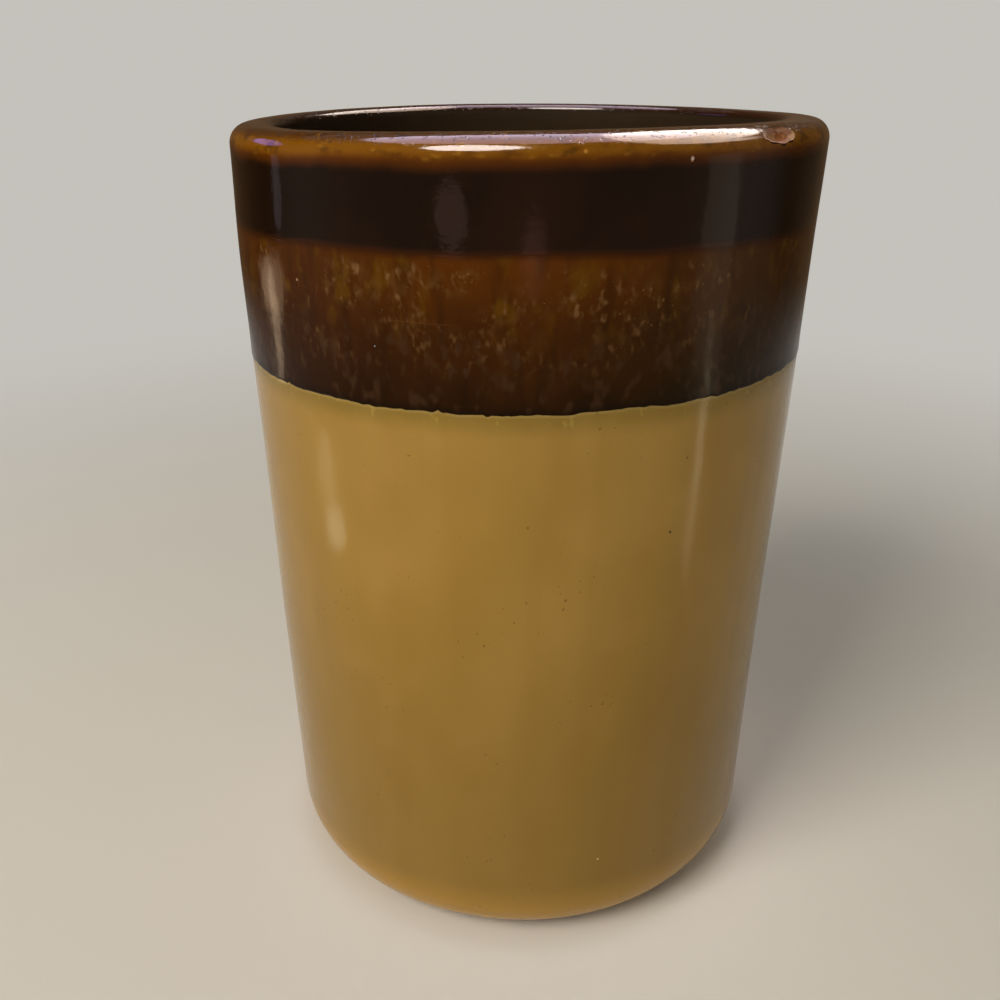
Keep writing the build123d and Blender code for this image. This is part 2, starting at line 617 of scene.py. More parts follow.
    def line_shift(self) -> bpy.types.Node:
        """Tilt, wander, scallops and notches of the edge between amber and tan.

        Returns:
            The node that gives the shift.
        """
        tree = self.tree
        terms = [
            add_node(tree, MATH, {0: self.right, 1: self.given["Line Tilt"]}, operation="MULTIPLY"),
            self.wander("Line Wander Size", "Line Wander", 23.0),
            self.wander("Line Scallop Size", "Line Scallop", 37.0),
        ]
        for notch in self.NOTCHES:
            turn = math.radians(notch.turn)
            there = (math.sin(turn), -math.cos(turn), 0.0)
            away = add_node(tree, VECTOR, {0: self.around, 1: there}, operation="DISTANCE")
            reach = 2 * notch.width / self.form.mouth_radius
            terms.append(add_node(tree, RANGE, {
                0: away.outputs["Value"], "From Min": reach, "From Max": 0.0, "To Min": 0.0,
                "To Max": notch.jump}, interpolation_type="SMOOTHERSTEP"))
        return self.near("Amber Line", self.total(terms))

    def dark_shift(self) -> bpy.types.Node:
        """Slow wander of the edge between dark and amber."""
        return self.near("Dark Line", self.wander("Dark Wander Size", "Dark Wander", 51.0))

    def wall_shift(self) -> bpy.types.Node:
        """Slight unevenness of the wall, always inwards, the same on both of its faces.

        Returns:
            The node that gives the shift.
        """
        tree, given = self.tree, self.given
        flat = add_node(tree, VECTOR, {0: self.around, "Scale": given["Path Radius"]}, operation="SCALE")
        up = add_node(tree, JOIN, {"Z": self.level})
        place = add_node(tree, VECTOR, {0: flat, 1: up}, operation="ADD")
        scale = add_node(tree, MATH, {0: 1.0, 1: given["Wall Wave Size"]}, operation="DIVIDE")
        grain = add_node(tree, NOISE, {"Vector": place, "Scale": scale, "Detail": 1.0})
        depth = add_node(tree, RANGE, {0: grain, "From Min": GRAIN_LOW, "From Max": GRAIN_HIGH,
                                       "To Min": -1.0, "To Max": 0.0})
        return add_node(tree, MATH, {0: depth, 1: given["Wall Wave"]}, operation="MULTIPLY")

    def ring_shift(self, upright: bool) -> bpy.types.Node:
        """Rings that the throwing left.

        Args:
            upright: Whether this is the shift up on a level face, or the one outwards on the wall.

        Returns:
            The node that gives the shift.
        """
        tree, given = self.tree, self.given
        along = self.from_axis if upright else self.level
        turns = add_node(tree, MATH, {0: along, 1: given["Ring Spacing"]}, operation="DIVIDE")
        angle = add_node(tree, MATH, {0: turns, 1: 2 * math.pi}, operation="MULTIPLY")
        wave = add_node(tree, MATH, {0: angle}, operation="SINE")
        height = add_node(tree, RANGE, {0: wave, "From Min": -1.0, "From Max": 1.0})
        deep = add_node(tree, MATH, {0: height, 1: given["Ring Depth"]}, operation="MULTIPLY")
        half = add_node(tree, MATH, {0: given["Ring Top"], 1: 0.5}, operation="MULTIPLY")
        ends = (given["Ring Top"], half) if upright else (half, given["Ring Top"])
        share = add_node(tree, RANGE, {0: self.level, "From Min": ends[0], "From Max": ends[1]},
                         interpolation_type="SMOOTHSTEP")
        return add_node(tree, MATH, {0: deep, 1: share}, operation="MULTIPLY")

    def make(self, name: str, path: list[tuple], closed: bool, columns: int, material: bpy.types.Material,
             rings: ThrowingRings = ThrowingRings()) -> bpy.types.Object:
        """Turns one skin and leaves it as a plain mesh.

        Args:
            name: What the piece is called.
            path: Its half section, as radius and height.
            closed: Whether the section is a closed loop, or open with its ends on the axis.
            columns: How many steps there are round the crock.
            material: Its finish.
            rings: The throwing rings on it.

        Returns:
            The piece, at the origin.
        """
        piece = bpy.data.objects.new(name, profile_mesh(name, path, closed))
        bpy.context.scene.collection.objects.link(piece)
        own = {"Columns": columns, "Material": material}
        run_tree(piece, self.tree, {**self.shared, **self.inputs_of(rings), **own})
        face_outwards(piece.data)
        piece.data.set_sharp_from_angle(angle=SHARP_EDGE)
        return piece


@dataclass(frozen=True)
class Flaw:
    """A piece broken out of the lip or the wall, cut away with a closed, uneven lump.

    Attributes:
        name: What it is called.
        place: Point on the glaze.
        out: Direction straight out of the glaze.
        across: Half width along the rim.
        tall: Half height along the glaze, square to the rim.
        depth: How deep it goes.
        rough: How uneven the break is.
        seed: What sets its roughness apart.
    """

    name: str
    place: Vector
    out: Vector
    across: float
    tall: float
    depth: float
    rough: float
    seed: float

    LUMP_SCALE, LUMP_LAYERS = 3.1, 5
    RIDGE_SCALE, RIDGE_LAYERS, RIDGE_SHARE = 9.0, 4, 0.4
    FADE, FINER = 0.9, 2.1  # from one layer of the roughness to the next

    def cutter(self) -> bpy.types.Object:
        """Makes the lump, closed, as an object of its own.

        Returns:
            The object, which is removed once it has cut.
        """
        shape = bmesh.new()
        bmesh.ops.create_icosphere(shape, subdivisions=6, radius=1.0)
        bulge = (self.across ** 2 + self.depth ** 2) / (2 * self.depth)
        rim = Vector((-self.out.y, self.out.x, 0.0)).normalized()
        slope = self.out.cross(rim)
        centre = self.place + self.out * (bulge - self.depth)
        for vertex in shape.verts:
            ball = vertex.co.copy()
            lump = noise.fractal(ball * self.LUMP_SCALE + Vector((self.seed, 0.0, 0.0)),
                                 self.FADE, self.FINER, self.LUMP_LAYERS)
            ridge = noise.fractal(ball * self.RIDGE_SCALE + Vector((0.0, self.seed, 0.0)),
                                  self.FADE, self.FINER, self.RIDGE_LAYERS)
            bump = self.rough * (lump + self.RIDGE_SHARE * ridge)
            size = Vector((bulge, bulge * self.tall / self.across, bulge)) + Vector((bump, bump, bump))
            vertex.co = (centre + rim * ball.x * size.x + slope * ball.y * size.y
                         + self.out * ball.z * size.z)
        mesh = bpy.data.meshes.new(self.name)
        shape.to_mesh(mesh)
        shape.free()
        face_outwards(mesh)
        lump_object = bpy.data.objects.new(self.name, mesh)
        bpy.context.scene.collection.objects.link(lump_object)
        return lump_object


def cut_away(piece: bpy.types.Object, flaws: list[Flaw]) -> None:
    """Cuts the flaws out of a piece and leaves it a plain closed mesh.

    Args:
        piece: What is cut. Its broken faces get a fired_skin of zero.
        flaws: What is broken out.
    """
    for flaw in flaws:
        cutter = flaw.cutter()
        modifier = piece.modifiers.new("break", "BOOLEAN")
        modifier.operation = "DIFFERENCE"
        modifier.solver = "EXACT"
        modifier.object = cutter
        settle(piece)
        bpy.data.objects.remove(cutter)
    piece.data.set_sharp_from_angle(angle=SHARP_EDGE)


@dataclass(frozen=True)
class Speck:
    """A pinhole, a blister or a grain in the glaze. Some pale specks carry a painted glint as their colour.

    Attributes:
        turn: Angle round the crock in degrees.
        height: Height above the table, in millimetres.
        size: Its radius, in millimetres.
        tone: Its colour.
        proud: How far it stands out of the glaze, in millimetres, or below zero how deep it goes.
    """

    turn: float
    height: float
    size: float
    tone: str
    proud: float = 0.0


class Dressing:
    """A material in the making: its colour grows layer by layer, as the glaze on the crock did."""

    SPECK_CORE = 0.45  # of a speck's radius, within which it shows in full
    BROKEN_ROUGHNESS = 0.9  # what a break adds to the roughness
    GLOSS_LOW, GLOSS_HIGH = 0.3, 0.7  # between these values of its pattern the roughness changes

    def __init__(self, name: str, ground: str) -> None:
        """Starts a material.

        Args:
            name: What the real material is.
            ground: Colour under all layers.
        """
        self.material = bpy.data.materials.new(name)
        self.material.use_nodes = True
        self.tree = self.material.node_tree
        self.shader = self.tree.nodes["Principled BSDF"]
        self.place = add_node(self.tree, "ShaderNodeTexCoord").outputs["Object"]
        self.height, self.skin = (
            add_node(self.tree, "ShaderNodeAttribute", attribute_name=mark).outputs["Fac"]
            for mark in ("form_height", "fired_skin"))
        self.colour = linear(ground)
        self.relief = 0.0

    def pattern(self, across: float, along: float, apart: float, detail: float = 2.0,
                roughness: float = 0.5) -> bpy.types.NodeSocket:
        """Uneven pattern of a real size, which may be drawn out up and down the wall.

        Args:
            across: Size of the pattern round the wall, in millimetres.
            along: Its size up the wall, in millimetres.
            apart: What sets this pattern apart from the others.
            detail: How many finer layers it has.
            roughness: How strong they are.

        Returns:
            The socket with the pattern, from zero to one.
        """
        wide, tall = 1 / (across * MM), 1 / (along * MM)
        scaled = add_node(self.tree, "ShaderNodeMapping", {
            "Vector": self.place, "Scale": (wide, wide, tall), "Location": (apart, apart, apart)})
        return add_node(self.tree, NOISE, {
            "Vector": scaled, "Scale": 1.0, "Detail": detail, "Roughness": roughness}).outputs[0]

    def share(self, value: Source, low: float, high: float, most: float = 1.0,
              within: Source | None = None) -> bpy.types.Node:
        """How much of a layer shows, growing smoothly along a value.

        Args:
            value: The socket or node that it follows.
            low: Where it starts from nothing.
            high: Where it is full, which may be lower than the start.
            most: How much shows there.
            within: Another share that it is held to.

        Returns:
            The node that gives the share.
        """
        ends = {"From Min": low, "From Max": high, "To Min": 0.0, "To Max": most}
        if low > high:
            ends = {"From Min": high, "From Max": low, "To Min": most, "To Max": 0.0}
        shown = add_node(self.tree, RANGE, {0: value, **ends}, interpolation_type="SMOOTHSTEP")
        if within is None:
            return shown
        return add_node(self.tree, MATH, {0: shown, 1: within}, operation="MULTIPLY")

    def broken(self) -> bpy.types.Node:
        """Share that is one on the faces of a break, and zero on the skin that came from the kiln."""
        return self.share(self.skin, 0.6, 0.4)

    def lay(self, tone: str, share: Source) -> None:
        """Lays a colour over those that are there, as far as its share lets it show."""
        self.colour = add_node(self.tree, "ShaderNodeMix", {
            "Factor": share, "A": self.colour, "B": linear(tone)}, data_type="RGBA").outputs["Result"]

    def raise_by(self, share: Source, height: float) -> None:
        """Raises the surface by a height in millimetres where the share is one."""
        self.relief = add_node(self.tree, MATH, {0: share, 1: height * MM, 2: self.relief},
                               operation="MULTIPLY_ADD")

    def speckle(self, form: CrockForm, specks: tuple[Speck, ...]) -> None:
        """Puts single specks into the glaze, each with a hard edge and a height of its own.

        Args:
            form: The true form, which the specks lie on.
            specks: The specks.
        """
        for speck in specks:
            spot, _ = form.wall_point(speck.turn, speck.height * MM)
            gap = add_node(self.tree, VECTOR, {0: self.place, 1: tuple(spot)}, operation="DISTANCE")
            size = speck.size * MM
            here = self.share(gap.outputs["Value"], size, self.SPECK_CORE * size)
            self.lay(speck.tone, here)
            self.raise_by(here, speck.proud)

    def done(self, gloss: Source, smooth: float, rough: float, shine: float,
             broken: Source | None = None) -> bpy.types.Material:
        """Sets the gloss, and links the colour, the roughness and the relief to the shader.

        Args:
            gloss: Pattern that the roughness follows.
            smooth: Roughness where the pattern is low.
            rough: Roughness where it is high.
            shine: Specular level.
            broken: Share of the surface that is broken open, and dull, or none.

        Returns:
            The finished material.
        """
        tree, sockets = self.tree, self.shader.inputs
        spread = add_node(tree, RANGE, {0: gloss, "From Min": self.GLOSS_LOW, "From Max": self.GLOSS_HIGH,
                                        "To Min": smooth, "To Max": rough})
        sockets["Specular IOR Level"].default_value = shine
        if broken is not None:
            spread = add_node(tree, MATH, {0: broken, 1: self.BROKEN_ROUGHNESS, 2: spread},
                              operation="MULTIPLY_ADD")
        bump = add_node(tree, "ShaderNodeBump", {"Height": self.relief, "Distance": 1.0, "Strength": 1.0})
        tree.links.new(self.colour, sockets["Base Color"])
        tree.links.new(spread.outputs[0], sockets["Roughness"])
        tree.links.new(bump.outputs[0], sockets["Normal"])
        return self.material


@dataclass(frozen=True)
class StonewareClay:
    """Fired buff stoneware, thrown on the wheel and sponged.

    To the eye it is matt and gritty, toasted orange where it meets the glaze, and where it is broken
    open it is raw, rust-coloured and pinkish buff.
    """

    form: CrockForm
    ground: str = "#A98B66"
    pale: str = "#BC9E78"
    toasted: str = "#8A5B34"
    rust: str = "#8A5020"
    raw_buff: str = "#CCA06C"
    dark_grit: str = "#7A5C3E"
    iron: str = "#4B3422"
    worn: str = "#8C7660"
    burnt: str = "#4A230C"

    def build(self) -> bpy.types.Material:
        """Builds the material: grit, iron specks of 0.9 mm, clouds of 9 mm and 1.8 mm breaks.

        Returns:
            The finished material.
        """
        work = Dressing("fired_buff_stoneware", self.ground)
        foot = self.form.bare_foot / MM
        cloud = work.pattern(9.0, 9.0, apart=1.0, detail=3.0)
        # Real grit is about 0.2 mm. It is drawn as coarse as it needs to be to show.
        grit = work.pattern(0.45, 0.45, apart=2.0, detail=3.0, roughness=0.7)
        iron = work.pattern(0.9, 0.9, apart=3.0, detail=1.0)
        work.lay(self.pale, work.share(cloud, 0.35, 0.65))
        work.lay(self.dark_grit, work.share(grit, 0.55, 0.75, most=0.35))
        work.lay(self.iron, work.share(iron, 0.72, 0.78, most=0.8))
        work.lay(self.toasted, work.share(work.height, foot - 1.6, foot + 0.2, most=0.65))
        work.lay(self.worn, work.share(work.height, 0.25, 0.0, most=0.5))
        broken = work.broken()
        work.lay(self.rust, broken)
        patch = work.pattern(1.8, 1.8, apart=4.0, detail=3.0)
        work.lay(self.raw_buff, work.share(patch, 0.48, 0.66, most=0.5, within=broken))
        work.lay(self.burnt, work.share(grit, 0.52, 0.70, most=0.6, within=broken))
        work.raise_by(grit, 0.10)
        work.raise_by(cloud, 0.10)
        work.raise_by(work.share(patch, 0.3, 0.7, within=broken), 0.12)
        return work.done(grit, 0.55, 0.85, shine=0.02, broken=broken)


@dataclass(frozen=True)
class OchreGlaze:
    """Honey-coloured transparent glaze, dipped over the buff clay and fired glossy.

    To the eye it is quiet and smooth, a little cloudy, greener where the next dip ran into it, and
    has hardly a speck.
    """

    form: CrockForm
    ground: str = "#9C7A36"
    cloudy: str = "#A4823E"
    runny: str = "#93702C"
    patchy: str = "#AE8845"
    # painted shade: the colour laid over the lower wall to darken it
    low: str = "#7E6228"
    heel: str = "#B88E40"
    green: str = "#766222"
    # partly the thin ochre meniscus, partly a painted highlight
    brim: str = "#B8A064"
    drips: str = "#B49A48"
    dust: str = "#5C4019"

    def build(self) -> bpy.types.Material:
        """Builds the material: clouds of 30 to 45 mm, runs 5 mm wide, drips of 2 mm, 6 mm ripples.

        Returns:
            The finished material.
        """
        work = Dressing("dipped_ochre_glaze", self.ground)
        line = self.form.amber_line / MM
        cloud = work.pattern(30.0, 45.0, apart=5.0, detail=2.0)
        runs = work.pattern(5.0, 80.0, apart=6.0, detail=1.0)
        patch = work.pattern(11.0, 15.0, apart=7.0, detail=1.0)
        work.lay(self.cloudy, work.share(cloud, 0.36, 0.64))
        work.lay(self.runny, work.share(runs, 0.42, 0.72, most=0.22))
        work.lay(self.patchy, work.share(patch, 0.52, 0.74, most=0.22))
        # Painted shade: the lower wall is laid darker from 112 mm down to 24 mm.
        work.lay(self.low, work.share(work.height, 112.0, 24.0, most=0.55))
        work.lay(self.heel, work.share(work.height, 18.0, 6.0, most=0.8))
        creep = work.pattern(6.0, 6.0, apart=10.0, detail=2.0)
        under = add_node(work.tree, MATH, {0: creep, 1: 3.4, 2: work.height}, operation="MULTIPLY_ADD")
        work.lay(self.green, work.share(under, line - 3.6, line + 1.4, most=0.60))
        # Pale line just under the amber edge: partly the thin ochre meniscus there, partly a painted
        # highlight on the underside of the amber bead.
        work.lay(self.brim, work.share(work.height, line - 0.7, line - 0.1, most=0.30))
        drip = work.pattern(1.6, 2.2, apart=11.0, detail=1.0)
        edge = work.share(work.height, line - 3.4, line - 1.0)
        work.lay(self.drips, work.share(drip, 0.64, 0.74, most=0.38, within=edge))
        dust = work.pattern(0.8, 0.8, apart=8.0, detail=0.0)
        dusted = work.pattern(14.0, 14.0, apart=9.0, detail=0.0)
        here = work.share(dusted, 0.55, 0.66, most=0.6)
        work.lay(self.dust, work.share(dust, 0.79, 0.83, within=here))
        work.speckle(self.form, (
            Speck(28.2, 103.6, 0.42, "#33210F", -0.05),
            Speck(-0.9, 118.0, 0.26, "#6B4E20", -0.02),
            Speck(1.2, 107.5, 0.30, "#6B4E20", -0.02),
            Speck(-4.8, 23.0, 0.28, "#5C4420", -0.02),
            Speck(17.7, 23.8, 0.38, "#D2BE88", 0.02),
            Speck(133.0, 76.0, 0.40, "#3A2712", -0.05),
            Speck(214.0, 95.0, 0.34, "#3A2712", -0.05),
            Speck(-98.0, 61.0, 0.36, "#4A3216", -0.04),
        ))
        ripple = work.pattern(6.0, 8.0, apart=12.0, detail=2.0)
        work.raise_by(ripple, 0.05)
        work.raise_by(work.pattern(1.5, 1.8, apart=13.0, detail=1.0), 0.005)
        return work.done(patch, 0.12, 0.19, shine=0.18)


@dataclass(frozen=True)
class AmberGlaze:
    """Iron glaze where the dark dip thins over the ochre one: clear amber with milky rutile flecks.

    To the eye it is deep brown and glassy, brightest under the dark edge and nearly black at its
    foot, and full of soft, torn, pinkish flecks that the melt drew downwards.
    """

    form: CrockForm
    ground: str = "#1F0F01"
    middle: str = "#371B02"
    bright: str = "#552B02"
    gold: str = "#5E3F04"
    milk: str = "#604220"
    pink: str = "#7C5A3A"
    # painted shade towards the left and the right side of the band
    painted_left_shade: str = "#2E1302"
    painted_right_shade: str = "#291E04"
    curtain: str = "#1A0C01"
    spark: str = "#8C6A44"
    blob: str = "#402B1A"
    foot_line: str = "#120801"
    upper_edge: str = "#2E1403"
    scratch: str = "#6A3C20"
    sparse_side: float = 0.3

    def build(self) -> bpy.types.Material:
        """Builds the material: flecks 0.7 to 2.3 mm wide, drawn downwards, in crowds of 12 mm.

        Returns:
            The finished material.
        """
        work = Dressing("amber_rutile_glaze", self.ground)
        low, high = self.form.amber_line / MM, self.form.dark_line / MM
        parts = add_node(work.tree, SPLIT, {0: work.place}).outputs
        right = parts["X"]
        stir = work.pattern(14.0, 18.0, apart=21.0)
        level = add_node(work.tree, MATH, {0: stir, 1: 14.0, 2: work.height}, operation="MULTIPLY_ADD")
        work.lay(self.middle, work.share(level, low + 6.0, low + 18.0))
        work.lay(self.bright, work.share(level, low + 17.0, high + 8.0))
        # Painted shade: the band is laid darker towards its left side and towards its right side.
        work.lay(self.painted_left_shade, work.share(right, 5.0 * MM, -45.0 * MM, most=0.45))
        work.lay(self.painted_right_shade, work.share(right, 5.0 * MM, 40.0 * MM, most=0.45))
        curtain = work.pattern(3.4, 20.0, apart=22.0)
        work.lay(self.curtain, work.share(curtain, 0.50, 0.72, most=0.35))
        pool = work.pattern(4.0, 7.0, apart=29.0)
        upper = work.share(work.height, low + 10.0, low + 20.0)
        work.lay(self.gold, work.share(pool, 0.52, 0.74, most=0.6, within=upper))
        crowd = work.share(work.pattern(12.0, 8.0, apart=23.0, detail=1.0), 0.36, 0.60)
        clear = work.share(work.height, high - 1.0, high - 3.5, within=crowd)
        fuller = work.share(right, 44.0 * MM, 26.0 * MM, most=1.0 - self.sparse_side)
        side = add_node(work.tree, MATH, {0: fuller, 1: self.sparse_side}, operation="ADD")
        spread = work.share(work.height, low + 3.0, low + 22.0, within=clear)
        sparse = add_node(work.tree, MATH, {0: spread, 1: side}, operation="MULTIPLY")
        haze = work.pattern(2.3, 3.2, apart=25.0, roughness=0.55)
        work.lay(self.milk, work.share(haze, 0.46, 0.72, most=0.50, within=sparse))
        fleck = work.pattern(1.4, 2.1, apart=24.0, detail=1.0)
        work.lay(self.milk, work.share(fleck, 0.54, 0.66, most=0.50, within=sparse))
        work.lay(self.pink, work.share(fleck, 0.62, 0.76, most=0.55, within=sparse))
        spark = work.pattern(0.7, 0.8, apart=26.0, detail=0.0)
        work.lay(self.spark, work.share(spark, 0.76, 0.84, most=0.35, within=sparse))
        blob = work.pattern(2.2, 3.6, apart=30.0, detail=1.0)
        foot = work.share(work.height, low + 19.0, low + 9.0)
        work.lay(self.blob, work.share(blob, 0.52, 0.70, most=0.55, within=foot))
        work.lay(self.foot_line, work.share(work.height, low + 1.6, low + 0.2, most=0.7))
        work.lay(self.upper_edge, work.share(work.height, high - 1.5, high + 0.2, most=0.85))
        scratch = work.share(work.height, 145.4, 145.6, within=work.share(work.height, 145.9, 145.7))
        start = work.share(right, -26.0 * MM, -21.0 * MM, within=scratch)
        end = work.share(right, -10.0 * MM, -15.0 * MM, within=start)
        work.lay(self.scratch, work.share(parts["Y"], 0.0, -20.0 * MM, most=0.22, within=end))
        # The cream specks #E4D8CE, #A8947C and #D8CCBE are small raised dots whose pale colour is a painted
        # glint; the dark ring is a pit.
        work.speckle(self.form, (
            Speck(-25.3, 140.6, 0.72, "#1A0B04", -0.04),
            Speck(-25.3, 140.6, 0.40, "#E4D8CE", 0.03),
            Speck(0.8, 132.8, 0.22, "#A8947C", 0.03),
            Speck(-42.0, 150.5, 0.42, "#9C7C5A", 0.02),
            Speck(-12.0, 147.6, 0.20, "#94785C", 0.03),
            Speck(-3.4, 151.6, 0.18, "#94785C", 0.03),
            Speck(3.2, 149.8, 0.20, "#B89C80", 0.03),
            Speck(149.0, 143.0, 0.34, "#D8CCBE", 0.03),
            Speck(231.0, 138.0, 0.30, "#D8CCBE", 0.03),
        ))
        work.raise_by(work.pattern(4.0, 6.0, apart=27.0, detail=2.0), 0.05)
        work.raise_by(haze, 0.014)
        work.raise_by(fleck, 0.008)
        work.shader.inputs["Specular Tint"].default_value = linear(WARM_TINT)
        return work.done(haze, 0.09, 0.17, shine=0.085)


@dataclass(frozen=True)
class DarkGlaze:
    """Iron-rich slip glaze, dipped thick: a temmoku, glossy and all but black.

    To the eye it breaks to amber brown where it thins over the round of the lip, with small gold
    flecks and blisters there, and fades into amber at its lower edge.
    """

    form: CrockForm
    ground: str = "#160902"
    warm: str = "#1F0E04"
    thin: str = "#582C02"
    thinner: str = "#80520B"
    crest: str = "#3C1E0A"
    gold: str = "#9A6C20"
    inside: str = "#34281C"
    fade: str = "#331703"
    mottled: str = "#2C1404"
    rust: str = "#85532C"
    raw_buff: str = "#C69C6C"
    pit: str = "#1A0C04"

    def build(self) -> bpy.types.Material:
        """Builds the material: 2 mm flecks on the lip, clouds of 18 mm and ripples of 5 mm.

        Returns:
            The finished material.
        """
        work = Dressing("dark_iron_glaze", self.ground)
        top, line = self.form.height / MM, self.form.dark_line / MM
        cloud = work.pattern(18.0, 26.0, apart=31.0, detail=2.0)
        work.lay(self.warm, work.share(cloud, 0.35, 0.65))
        work.lay(self.fade, work.share(work.height, line + 1.2, line, most=0.85))
        parts = add_node(work.tree, SPLIT, {0: work.place})
        flat = add_node(work.tree, JOIN, {"X": parts.outputs["X"], "Y": parts.outputs["Y"]})
        radius = add_node(work.tree, VECTOR, {0: flat}, operation="LENGTH").outputs["Value"]
        crest = self.form.radius(Side.INSIDE, self.form.height)
        outside = work.share(radius, crest + 0.6 * MM, crest + 2.0 * MM)
        frill = work.pattern(8.0, 8.0, apart=32.0, detail=2.0)
        level = add_node(work.tree, MATH, {0: frill, 1: 1.8, 2: work.height}, operation="MULTIPLY_ADD")
        work.lay(self.thin, work.share(level, top - 5.6, top - 2.6, most=0.95, within=outside))
        work.lay(self.thinner, work.share(level, top - 3.6, top - 1.8, most=0.75, within=outside))
        # Brown over the crest of the lip: partly the glaze's own brown where it thins there, partly a
        # painted dark reflection along the crest line.
        work.lay(self.crest, work.share(work.height, top - 1.9, top - 0.5, most=0.75))
        # Painted light: the band just inside the lip is laid lighter brown than the dark glaze, standing
        # for the sky light it reflects.
        inner = work.share(radius, crest + 0.7 * MM, crest + 0.1 * MM)
        work.lay(self.inside, work.share(work.height, top - 0.8, top - 2.2, within=inner))
        lip = work.share(level, top - 3.8, top - 2.2, within=outside)
        mottle = work.pattern(4.5, 2.6, apart=37.0, detail=2.0)
        work.lay(self.mottled, work.share(mottle, 0.50, 0.70, most=0.55, within=lip))
        fleck = work.pattern(2.4, 1.6, apart=33.0, detail=2.0)
        work.lay(self.gold, work.share(fleck, 0.58, 0.78, most=0.55, within=lip))
        broken = work.broken()
        work.lay(self.rust, broken)
        work.lay(self.raw_buff, work.share(fleck, 0.48, 0.66, most=0.5, within=broken))
        # The cream specks #E6D2BC and #D8BE96 are raised blisters whose pale colour is a painted highlight.
        work.speckle(self.form, (
            Speck(25.8, 172.8, 0.46, "#B9A594"),
            Speck(-31.5, 175.2, 0.55, "#B98A3A", 0.03),
            Speck(-26.8, 175.4, 0.50, "#E6D2BC", 0.05),
            Speck(-24.0, 174.6, 0.34, "#D8BE96", 0.04),
            Speck(-8.4, 174.9, 0.36, "#B08A60", 0.03),
            Speck(8.8, 174.3, 0.55, "#A8782E", 0.02),
            Speck(-52.0, 174.4, 0.50, "#9C6A30", 0.02),
            Speck(17.0, 174.8, 0.40, "#9A6A34", 0.02),
            Speck(24.0, 175.0, 0.34, "#8A5A30", -0.03),
            Speck(140.0, 174.8, 0.50, "#A8782E", 0.02),
            Speck(196.0, 175.2, 0.45, "#D8BE96", 0.04),
        ))
        pits = work.pattern(0.7, 0.6, apart=36.0, detail=1.0)
        near_crest = work.share(work.height, top - 2.4, top - 0.6)
        pitted = work.share(pits, 0.62, 0.72, within=near_crest)
        work.lay(self.pit, pitted)
        work.raise_by(pitted, -0.06)
        work.raise_by(work.pattern(5.0, 9.0, apart=34.0, detail=2.0), 0.05)
        work.raise_by(work.pattern(1.6, 1.3, apart=35.0, detail=2.0), 0.018)
        work.shader.inputs["Specular Tint"].default_value = linear(WARM_TINT)
        return work.done(cloud, 0.07, 0.13, shine=0.12, broken=broken)


@dataclass(frozen=True)
class LinerGlaze:
    """The same iron slip poured inside and swilled round: a glossy brown liner.

    To the eye it is dark brown and slightly cloudy, with lighter runs down the wall.
    """

    form: CrockForm
    # Painted light: these browns are laid far lighter than the dark glaze outside, which is the same slip,
    # to make up for the dim light inside.
    ground: str = "#4C3220"
    pale: str = "#5E4228"
    runs: str = "#70491F"

    def build(self) -> bpy.types.Material:
        """Builds the material: clouds of 14 to 20 mm and runs 3 mm wide.

        Returns:
            The finished material.
        """
        work = Dressing("poured_liner_glaze", self.ground)
        cloud = work.pattern(14.0, 20.0, apart=41.0, detail=3.0)
        work.lay(self.pale, work.share(cloud, 0.35, 0.65))
        runs = work.pattern(3.0, 45.0, apart=42.0)
        work.lay(self.runs, work.share(runs, 0.52, 0.70, most=0.5))
        work.raise_by(work.pattern(5.0, 5.0, apart=43.0), 0.06)
        return work.done(cloud, 0.10, 0.17, shine=0.24)


@dataclass
class ClayBody:
    """The turned stoneware body with its broken lip and its dry, recessed foot."""

    form: CrockForm
    turner: TurnedSkin
    flaws: list[Flaw]
    columns: int = 440  # steps round the crock
    hidden_spacing: float = 6.0 * MM
    foot_spacing: float = 0.9 * MM
    lip_spacing: float = 0.8 * MM

    def path(self) -> list[tuple[float, float]]:
        """Half section of the clay, from the floor inside round to the recess underneath.

        Returns:
            Radius and height of its points.
        """
        form, deep = self.form, self.form.coat
        floor = form.floor - deep
        wall_end = form.height - 3 * form.lip_outer_radius
        foot_start = 1.6 * form.heel_radius
        corners, radii = form.lip_corners(deep)
        inner = [(0.0, floor), (form.radius(Side.INSIDE, floor, deep), floor),
                 (form.radius(Side.INSIDE, wall_end, deep), wall_end)]
        lip = [inner[-1], *corners, (form.radius(Side.OUTSIDE, wall_end, deep), wall_end)]
        outer = [lip[-1], (form.radius(Side.OUTSIDE, foot_start, deep), foot_start)]
        bevel, soft = form.recess_bevel, form.recess_bevel / 2
        foot = [outer[-1], (form.radius(Side.OUTSIDE, 0.0, deep), 0.0),
                (form.recess_radius + bevel, 0.0), (form.recess_radius, bevel),
                (form.recess_radius, form.recess_depth), (0.0, form.recess_depth)]
        path = rounded_path(inner, [form.corner_radius + deep], self.hidden_spacing)
        path += rounded_path(lip, radii, self.lip_spacing)[1:]
        path += rounded_path(outer, [], self.hidden_spacing)[1:]
        path += rounded_path(foot, [form.heel_radius - deep, soft / 2, soft / 2, soft],
                             self.foot_spacing)[1:]
        return path

    def build(self) -> bpy.types.Object:
        """Builds and dresses the body.

        Returns:
            The piece.
        """
        rings = ThrowingRings(ring_depth=0.07 * MM, ring_spacing=1.9 * MM, ring_top=3.0 * MM)
        piece = self.turner.make("clay_body", self.path(), False, self.columns,
                                 StonewareClay(self.form).build(), rings)
        cut_away(piece, self.flaws)
        return piece


